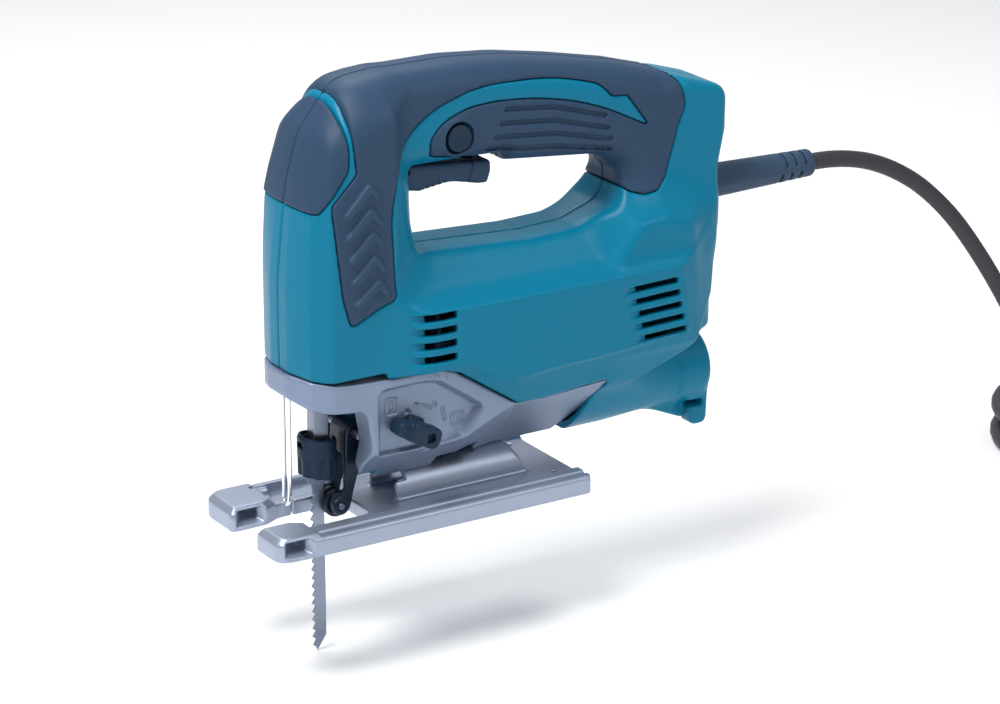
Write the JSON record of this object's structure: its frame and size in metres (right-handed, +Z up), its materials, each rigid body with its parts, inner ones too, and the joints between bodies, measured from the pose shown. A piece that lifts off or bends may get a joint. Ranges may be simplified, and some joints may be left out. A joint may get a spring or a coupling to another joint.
{
  "type": "jigsaw power tool",
  "caption": "Corded hand-held jigsaw with a D-handle, bevelling forked sole, wire guard, tool-free blade clamp and orbital lever.",
  "frame": {"origin": "centre of the sole's bottom face, in the blade's plane", "axes": "-X is the cutting direction, +Y the operator's right, +Z up out of the work"},
  "size_m": [0.5958, 0.1444, 0.2633],
  "materials": {
    "teal_shell": "satin moulded",
    "soft_rubber": "matt textured",
    "cast_aluminium": "satin cast",
    "sole_aluminium": "brushed",
    "steel": "ground",
    "dark_plastic": "satin",
    "black_steel": "blackened",
    "chrome_wire": "polished",
    "copper": "turned",
    "laminate": "stacked sheet",
    "carbon": "pressed carbon",
    "brass": "plain",
    "cord_rubber": "matt"
  },
  "bodies": {
    "body": {"housing_left": "teal_shell", "housing_right": "teal_shell", "nose_pad_left": "soft_rubber", "nose_pad_right": "soft_rubber", "handle_grip_left": "soft_rubber", "handle_grip_right": "soft_rubber", "gear_casting": "cast_aluminium", "gear_spindle": "steel", "bearing_plate": "cast_aluminium", "front_bearing": "steel", "rear_bearing": "steel", "stator": "laminate", "brush_holder_left": "brass", "brush_holder_right": "brass", "carbon_brush_left": "carbon", "carbon_brush_right": "carbon", "lower_bush": "brass", "upper_bush": "brass", "wire_guard": "chrome_wire", "arm_pivot_pin": "steel", "chip_duct": "teal_shell", "trigger_spring": "steel", "switch_body": "dark_plastic", "button_spring": "steel", "dust_nozzle": "dark_plastic", "cord_guard": "cord_rubber", "screw_front": "steel", "screw_rear": "steel", "screw_middle": "steel", "cord": "cord_rubber", "cord_coil": "cord_rubber", "cord_tail": "cord_rubber", "plug": "cord_rubber", "plug_pin_left": "brass", "plug_pin_right": "brass"},
    "armature": {"armature_shaft": "steel", "armature_core": "laminate", "commutator": "copper", "fan": "dark_plastic"},
    "gear_train": {"drive_gear": "steel", "crank_pin": "steel", "balance_plate": "black_steel"},
    "plunger": {"plunger_rod": "steel", "crank_yoke": "black_steel", "clamp_holder": "black_steel", "clamp_spring": "steel", "blade": "steel"},
    "clamp": {"clamp_sleeve": "dark_plastic"},
    "roller_swing": {"roller_arm": "black_steel", "roller_pin": "steel"},
    "roller": {"guide_roller": "black_steel"},
    "lever": {"orbital_lever": "dark_plastic", "lever_cam": "steel"},
    "bevel": {"bevel_bolt": "steel", "curved_washer": "steel", "clamp_nut": "black_steel"},
    "sole": {"sole": "sole_aluminium"},
    "trigger": {"trigger": "soft_rubber"},
    "lock": {"lock_button": "dark_plastic"},
    "dial": {"speed_dial": "dark_plastic"}
  },
  "joints": [
    {"name": "armature_spin", "type": "hinge", "parent": "body", "child": "armature", "pos_m": [0, 0, 0.087], "axis": [1, 0, 0], "continuous": true},
    {"name": "gear_spin", "type": "hinge", "parent": "body", "child": "gear_train", "pos_m": [0, 0, 0.1121], "axis": [1, 0, 0], "continuous": true},
    {"name": "plunger_stroke", "type": "slide", "parent": "body", "child": "plunger", "axis": [0, 0, 1], "range_m": [-0.005, 0.018]},
    {"name": "clamp_release", "type": "hinge", "parent": "plunger", "child": "clamp", "pos_m": [-0.041, 0, 0.03], "axis": [0, 0, 1], "range_deg": [0, 50], "stiffness_Nm_per_rad": 0.05, "springref_deg": -11.46},
    {"name": "roller_swing", "type": "hinge", "parent": "body", "child": "roller_swing", "pos_m": [-0.026, 0, 0.041], "axis": [0, 1, 0], "range_deg": [-3.5, 0]},
    {"name": "roller_spin", "type": "hinge", "parent": "roller_swing", "child": "roller", "pos_m": [-0.0333, 0, 0.0081], "axis": [0, 1, 0], "continuous": true},
    {"name": "orbital_lever_turn", "type": "hinge", "parent": "body", "child": "lever", "pos_m": [-0.003, 0, 0.0425], "axis": [0, 1, 0], "range_deg": [0, 110]},
    {"name": "sole_bevel", "type": "hinge", "parent": "body", "child": "bevel", "pos_m": [0.022, 0, 0.008], "axis": [1, 0, 0], "range_deg": [-45, 45]},
    {"name": "sole_shift", "type": "slide", "parent": "bevel", "child": "sole", "axis": [1, 0, 0], "range_m": [0, 0.01]},
    {"name": "trigger_pull", "type": "hinge", "parent": "body", "child": "trigger", "pos_m": [0.0015, 0, 0.155], "axis": [0, 1, 0], "range_deg": [-6, 0], "stiffness_Nm_per_rad": 0.8, "springref_deg": 5.73, "deforming": ["trigger_spring"]},
    {"name": "lock_push", "type": "slide", "parent": "body", "child": "lock", "axis": [0, 1, 0], "range_m": [0, 0.0025], "stiffness_N_per_m": 300, "springref_m": -0.002, "deforming": ["button_spring"]},
    {"name": "speed_dial_turn", "type": "hinge", "parent": "body", "child": "dial", "pos_m": [0.1455, 0, 0.097], "axis": [0, 1, 0], "range_deg": [0, 300]}
  ],
  "couplings": [
    {"joint": "gear_spin", "follows": "armature_spin", "ratio": -0.13636}
  ]
}
